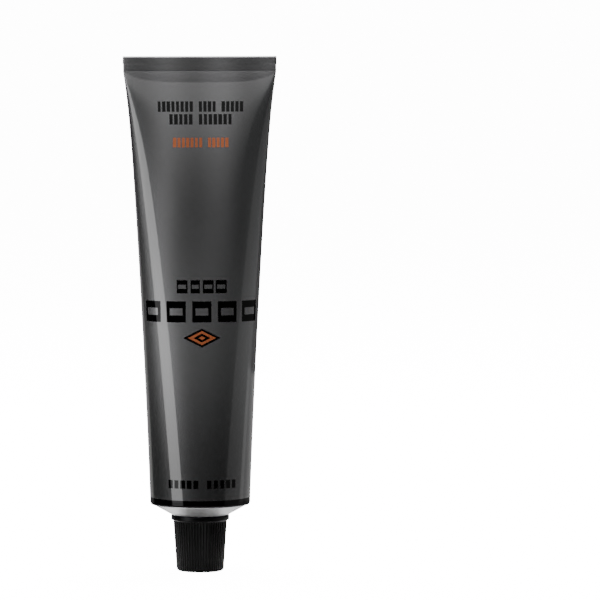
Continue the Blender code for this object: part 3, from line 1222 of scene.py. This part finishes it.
@dataclass
class ScrewCap:
    """The one-piece cap: tapered fluted wall, plain collar, threaded boss."""

    thread: Thread = field(default_factory=Thread)
    points: int = 540
    flutes: int = 54
    flute_depth: float = 0.28 * MM
    end_radius: float = 8.3 * MM
    rim_radius: float = 9.4 * MM
    corner: float = 1.2 * MM
    collar_radius: float = 10.15 * MM
    collar_bottom: float = 18.0 * MM
    collar_top: float = 19.7 * MM
    end_thickness: float = 1.6 * MM
    skirt_wall: float = 1.15 * MM
    boss_radius: float = 6.75 * MM
    boss_top: float = 17.2 * MM
    moat_bottom: float = 3.4 * MM
    well_radius: float = 4.0 * MM
    ledge_z: float = 9.6 * MM
    slope: float = 0.546

    def wall_radius(self, z: float) -> float:
        """Radius of the fluted wall's ridges.

        Args:
            z: the height.

        Returns:
            The radius.
        """
        share = (z - self.corner) / (self.collar_bottom - self.corner)
        return self.end_radius + (self.rim_radius - self.end_radius) * share

    def outside(self, surface: Surface) -> None:
        """Add the end, the corner, the fluted wall and the collar, from the bottom up.

        Args:
            surface: the surface being made.
        """
        for radius, z in ((0.02, 0.12), (5.8, 0.12), (6.2, 0.08), (6.5, 0.0), (6.9, 0.0)):
            surface.add(circle(radius * MM, z * MM))
        for step in range(1, 9):
            angle = 0.5 * math.pi * step / 8.0
            radius = self.end_radius - self.corner * (1.0 - math.sin(angle))
            surface.add(circle(radius, self.corner * (1.0 - math.cos(angle))), 0, step / 8.0 * 0.6)
        high = self.collar_bottom - 0.55 * MM
        for k in range(1, 13):
            z = self.corner + (high - self.corner) * k / 12.0
            surface.add(circle(self.wall_radius(z), z), 0, 1.0)
        c = self.collar_radius / MM
        collar = (
            (self.rim_radius / MM - 0.02, 17.60, 0.8), (self.rim_radius / MM, 17.70, 0.2),
            (self.rim_radius / MM + 0.03, 17.80, 0.0), (self.rim_radius / MM + 0.12, 17.90, 0.0),
            (c - 0.30, 17.98, 0.0), (c - 0.12, 18.03, 0.0), (c - 0.03, 18.12, 0.0), (c, 18.25, 0.0),
            (c, 19.30, 0.0), (c - 0.02, 19.45, 0.0), (c - 0.08, 19.58, 0.0), (c - 0.16, 19.67, 0.0),
            (c - 0.26, 19.66, 0.0), (c - 0.40, 19.60, 0.0),
        )
        for radius, z, weight in collar:
            surface.add(circle(radius * MM, z * MM), 0, weight)

    def moat(self, surface: Surface) -> None:
        """Add the rim's inner slope and the hollow between the wall and the boss.

        Args:
            surface: the surface being made.
        """
        rim = self.rim_radius - self.skirt_wall
        slope_z = self.collar_top - (self.collar_radius - 0.15 * MM - rim) * self.slope
        surface.add(circle(rim + 0.1 * MM, slope_z + 0.02 * MM))
        surface.add(circle(rim, slope_z - 0.1 * MM))
        surface.add(circle(rim, self.collar_bottom))
        low = self.wall_radius(self.moat_bottom) - self.skirt_wall
        for share in (0.25, 0.5, 0.75, 0.97):
            z = self.collar_bottom + (self.moat_bottom - self.collar_bottom) * share
            surface.add(circle(rim + (low - rim) * share, z))
        surface.add(circle(0.5 * (low + self.boss_radius), self.moat_bottom))
        middle = 0.5 * (self.moat_bottom + self.boss_top)
        for z in (self.moat_bottom + 0.15 * MM, middle, self.boss_top - 0.2 * MM):
            surface.add(circle(self.boss_radius, z))
        surface.add(circle(self.boss_radius - 0.06 * MM, self.boss_top - 0.06 * MM))
        surface.add(circle(self.boss_radius - 0.2 * MM, self.boss_top))

    def socket(self, surface: Surface) -> None:
        """Add the threaded socket, its ledge and the well below it.

        Args:
            surface: the surface being made.
        """
        root = self.thread.mean + self.thread.half_depth + self.thread.play
        surface.add(circle(root + 0.1 * MM, self.boss_top))
        surface.add(circle(root + 0.02 * MM, self.boss_top - 0.05 * MM))
        high = self.boss_top - 0.1 * MM
        for ring in reversed(self.thread.rings(self.ledge_z + 1.2 * MM, high, False, self.points)):
            surface.add(ring)
        surface.add(circle(root, self.ledge_z))
        surface.add(circle(self.well_radius, self.ledge_z))
        surface.add(circle(self.well_radius, self.end_thickness))
        surface.add(circle(0.02 * MM, self.end_thickness))

    def mesh(self) -> bpy.types.Object:
        """Make the blank cap.

        Returns:
            The object, before its flutes.
        """
        surface = Surface("screw_cap_black", self.points)
        self.outside(surface)
        self.moat(surface)
        self.socket(surface)
        return surface.build(0.06, outward=False)

    def dress(self, obj: bpy.types.Object, finish: bpy.types.Material) -> None:
        """Cut the flutes and give the cap its finish.

        Args:
            obj: the blank cap.
            finish: its material.
        """
        graph = GeometryGraph("flutes")
        count = graph.parameter("Flutes", float(self.flutes))
        depth = graph.parameter("Depth", self.flute_depth)
        place = graph.add("GeometryNodeInputPosition").outputs[0]
        parts = graph.add("ShaderNodeSeparateXYZ", None, {0: place})
        x, y = graph.scalar(parts.outputs[0]), graph.scalar(parts.outputs[1])
        radius = (x * x + y * y).math("SQRT").math("MAXIMUM", 1.0e-6)
        wave = 0.5 - 0.5 * (y.math("ARCTAN2", x) * count).math("COSINE")
        pull = -(depth * (wave**1.6) * graph.attribute("weight")) / radius
        flat = graph.add("ShaderNodeCombineXYZ", None, {0: x * pull, 1: y * pull, 2: 0.0})
        inputs = {"Geometry": graph.start.outputs[0], "Offset": flat.outputs[0]}
        moved = graph.add("GeometryNodeSetPosition", None, inputs)
        graph.finish(moved.outputs[0], [finish])
        graph.apply(obj)
        obj.data.set_sharp_from_angle(angle=math.radians(50.0))


# ---------------------------------------------------------------------------------------------
# Studio
# ---------------------------------------------------------------------------------------------


@dataclass(frozen=True)
class Softbox:
    """A rectangular light, placed by direction from the tube's middle."""

    name: str
    azimuth: float
    elevation: float
    distance: float
    width: float
    height: float
    power: float
    hidden: bool = False

    def build(self, aim: Vector) -> bpy.types.Object:
        """Make the light.

        Args:
            aim: the point that it faces.

        Returns:
            The light object.
        """
        a, e = math.radians(self.azimuth), math.radians(self.elevation)
        away = Vector((math.sin(a) * math.cos(e), -math.cos(a) * math.cos(e), math.sin(e)))
        data = bpy.data.lights.new(self.name, "AREA")
        data.shape = "RECTANGLE"
        data.size, data.size_y, data.energy = self.width, self.height, self.power
        light = bpy.data.objects.new(self.name, data)
        light.location = aim + away * self.distance
        light.rotation_mode = "QUATERNION"
        light.rotation_quaternion = away.to_track_quat("Z", "Y")
        light.visible_camera = light.visible_diffuse = not self.hidden
        bpy.context.scene.collection.objects.link(light)
        return light


@dataclass(frozen=True)
class GlowBoard:
    """An upright lit board that faces the tube, its glow fading out towards the lower edge."""

    name: str
    azimuth: float
    distance: float
    width: float
    low: float
    high: float
    fade: float
    glow: float

    def material(self) -> bpy.types.Material:
        """Build the glowing finish.

        Returns:
            The material.
        """
        graph = MaterialGraph(f"{self.name}_glow")
        _, _, z = graph.split(graph.object_point())
        level = z.smooth(self.low, self.low + self.fade)
        graph.set(
            Base_Color=(0.0, 0.0, 0.0, 1.0),
            Specular_IOR_Level=0.0,
            Emission_Color=graph.join(level, level, level),
            Emission_Strength=self.glow,
        )
        return graph.material

    def build(self) -> bpy.types.Object:
        """Make the board.

        Returns:
            The object.
        """
        a = math.radians(self.azimuth)
        away = Vector((math.sin(a), -math.cos(a), 0.0)) * self.distance
        side = Vector((math.cos(a), math.sin(a), 0.0)) * (0.5 * self.width)
        corners = [away - side, away + side, away + side, away - side]
        points = [(p.x, p.y, z) for p, z in zip(corners, (self.low, self.low, self.high, self.high))]
        mesh = bpy.data.meshes.new(self.name)
        mesh.from_pydata(points, [], [(3, 2, 1, 0)])
        obj = bpy.data.objects.new(self.name, mesh)
        obj.data.materials.append(self.material())
        obj.visible_camera = False
        bpy.context.scene.collection.objects.link(obj)
        return obj


@dataclass
class Studio:
    """Pale vault, soft lights and the camera."""

    lens: float = 391.6
    distance: float = 2.277
    azimuth: float = -3.7
    elevation: float = 4.3
    aim_side: float = 34.9 * MM
    aim_height: float = 94.85 * MM
    light_aim: float = 100.0 * MM
    vault_radius: float = 3.0
    vault_bend: float = 0.8
    vault_glow: float = 14.0
    mat_radius: float = 64.0 * MM
    mat_fade_start: float = 24.0 * MM
    mat_glow: float = 0.1
    softboxes: tuple[Softbox, ...] = (
        Softbox("key_left", -56.4, 10.0, 1.3, 0.66, 1.6, 14.4),
        Softbox("overhead", -22.0, 76.0, 0.62, 0.50, 0.32, 2.3),
        Softbox("backdrop_wash", 180.0, 62.0, 1.1, 2.4, 0.7, 60.0),
        Softbox("edge_left", -158.0, -10.5, 1.2, 0.9, 0.30, 0.42, hidden=True),
        Softbox("edge_right", 170.0, 3.0, 1.2, 0.35, 0.7, 0.5, hidden=True),
        Softbox("floor_right", 128.0, -15.0, 1.2, 1.3, 0.30, 0.7, hidden=True),
        Softbox("fill_right", 84.0, -2.0, 1.0, 1.1, 0.9, 1.25, hidden=True),
    )
    boards: tuple[GlowBoard, ...] = (
        GlowBoard("front_board", -8.0, 0.8, 1.1, 0.24, 0.80, 0.24, 1.45),
    )

    def vault(self) -> bpy.types.Object:
        """Make the round floor, which turns up into a closed pale vault beyond every viewpoint.

        Returns:
            The object.
        """
        surface = Surface("pale_vault", 96)
        low, bend = -0.05 * MM, self.vault_bend
        flat = self.vault_radius - bend
        for share in (0.01, 0.05, 0.2, 0.5, 1.0):
            surface.add(circle(flat * share, low))
        for step in range(1, 17):
            angle = 0.5 * math.pi * step / 16.0
            surface.add(circle(flat + bend * math.sin(angle), low + bend * (1.0 - math.cos(angle))))
        for step in range(1, 24):
            angle = 0.5 * math.pi * step / 24.0
            radius = self.vault_radius * math.cos(angle)
            surface.add(circle(radius, bend + self.vault_radius * math.sin(angle)))
        obj = surface.build(2.0 * math.pi * self.vault_radius)
        obj.visible_glossy = obj.visible_diffuse = False
        return obj

    def mat(self) -> bpy.types.Object:
        """Make the round mat round the tube's foot, thinning out to its edge, that the tube mirrors.

        Returns:
            The object.
        """
        mesh = bpy.data.meshes.new("pale_mat")
        sides = 96
        turns = [2.0 * math.pi * i / sides for i in range(sides)]
        points = [(math.cos(turn) * self.mat_radius, math.sin(turn) * self.mat_radius, 0.0) for turn in turns]
        mesh.from_pydata(points, [], [tuple(range(sides))])
        obj = bpy.data.objects.new("pale_mat", mesh)
        obj.visible_camera = obj.visible_diffuse = obj.visible_shadow = False
        bpy.context.scene.collection.objects.link(obj)
        return obj

    def world(self) -> None:
        """Set the dim room beyond the lights."""
        world = bpy.data.worlds.new("dim_room")
        world.use_nodes = True
        background = world.node_tree.nodes["Background"]
        background.inputs["Color"].default_value = (1.0, 1.0, 1.0, 1.0)
        background.inputs["Strength"].default_value = 0.05
        bpy.context.scene.world = world

    def camera(self) -> bpy.types.Object:
        """Make the camera.

        Returns:
            The camera object.
        """
        a, e = math.radians(self.azimuth), math.radians(self.elevation)
        away = Vector((math.sin(a) * math.cos(e), -math.cos(a) * math.cos(e), math.sin(e)))
        side = Vector((math.cos(a), math.sin(a), 0.0))
        data = bpy.data.cameras.new("camera")
        data.lens, data.sensor_width = self.lens, 36.0
        data.clip_start, data.clip_end = 0.1, 20.0
        camera = bpy.data.objects.new("camera", data)
        camera.location = side * self.aim_side + Vector((0.0, 0.0, self.aim_height)) + away * self.distance
        camera.rotation_mode = "QUATERNION"
        camera.rotation_quaternion = away.to_track_quat("Z", "Y")
        bpy.context.scene.collection.objects.link(camera)
        bpy.context.scene.camera = camera
        return camera

    def build(self) -> None:
        """Make the whole studio."""
        grounds = [self.vault(), self.mat()]
        vault_paper = SoftFinish("vault_paper", (0.9, 0.9, 0.9), 0.8, 400.0, 0.01 * MM, glow=self.vault_glow)
        fade = (self.mat_fade_start, self.mat_radius)
        mat_paper = replace(vault_paper, name="mat_paper", glow=self.mat_glow, fade_span=fade)
        for ground, finish in zip(grounds, (vault_paper, mat_paper)):
            ground.data.materials.append(finish.material())
        lights = [softbox.build(Vector((0.0, 0.0, self.light_aim))) for softbox in self.softboxes]
        boards = [board.build() for board in self.boards]
        self.world()
        self.camera()


# ---------------------------------------------------------------------------------------------
# Assembly
# ---------------------------------------------------------------------------------------------

DECORATION = (
    PrintMark(MarkShape.BARS, Ink.BLACK, 162.6 * MM, 3.6 * MM, 15.3 * MM, 19, gaps=(8, 13)),
    PrintMark(MarkShape.BARS, Ink.BLACK, 158.2 * MM, 3.6 * MM, 11.3 * MM, 13, gaps=(5,)),
    PrintMark(MarkShape.BARS, Ink.COPPER, 150.2 * MM, 3.3 * MM, 10.0 * MM, 13, gaps=(7,)),
    PrintMark(MarkShape.BARS, Ink.BLACK, 100.4 * MM, 4.6 * MM, 9.1 * MM, 4, 0.78, hollow=0.3),
    PrintMark(MarkShape.BARS, Ink.BLACK, 91.7 * MM, 7.3 * MM, 22.5 * MM, 5, 0.84, hollow=0.34),
    PrintMark(MarkShape.LOZENGE, Ink.BLACK, 82.65 * MM, 6.6 * MM, 6.6 * MM),
    PrintMark(MarkShape.BARS, Ink.BLACK, 31.8 * MM, 2.9 * MM, 12.9 * MM, 11, gaps=(5,)),
)


def seat(obj: bpy.types.Object, body: Body, node: str) -> None:
    """Let a finished piece stand for its node and ride on its body.

    Args:
        obj: the piece.
        body: the body it moves with.
        node: the node that it replaces.
    """
    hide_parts(node)
    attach(obj, body.value)
    LOG.info("%s: %d faces, rides on %s", obj.name, len(obj.data.polygons), body.value)


def main() -> None:
    logging.basicConfig(level=logging.INFO, format="%(name)s: %(message)s")
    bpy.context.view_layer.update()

    tube = TubeBody()
    metal = tube.mesh()
    finishes = [EnamelFinish(marks=DECORATION), BareMetalFinish(), LacquerFinish()]
    tube.dress(metal, [finish.material() for finish in finishes])
    seat(metal, Body.TUBE, "tube_body")

    band = EndSealBand(tube.sleeve).mesh()
    compound = SoftFinish("latex_dull", (0.62, 0.56, 0.42), 0.6, 1800.0, 0.02 * MM)
    band.data.materials.append(compound.material())
    seat(band, Body.TUBE, "end_seal_band")

    cream = CreamFill(tube).mesh()
    soft = SoftFinish("cream_white", (0.93, 0.93, 0.90), 0.5, 350.0, 0.06 * MM, 0.2)
    cream.data.materials.append(soft.material())
    seat(cream, Body.TUBE, "cream_fill")

    foil = Disc("orifice_foil_disc", 4.65 * MM, 11.0 * MM, 0.15 * MM, 3.9 * MM, 0.04 * MM).mesh()
    foil.data.materials.append(FoilFinish().material())
    seat(foil, Body.TUBE, "orifice_foil_seal")

    liner = Disc("cap_liner_foam", 5.5 * MM, 9.9 * MM, 0.8 * MM, 4.2 * MM, 0.12 * MM).mesh()
    foam = SoftFinish("foam_white", (0.86, 0.86, 0.84), 0.8, 3500.0, 0.03 * MM)
    liner.data.materials.append(foam.material())
    seat(liner, Body.LINER, "cap_liner")

    cap = ScrewCap()
    plastic = cap.mesh()
    cap.dress(plastic, PlasticFinish().material())
    seat(plastic, Body.CAP, "cap")

    Studio().build()


if __name__ == "__main__":
    main()
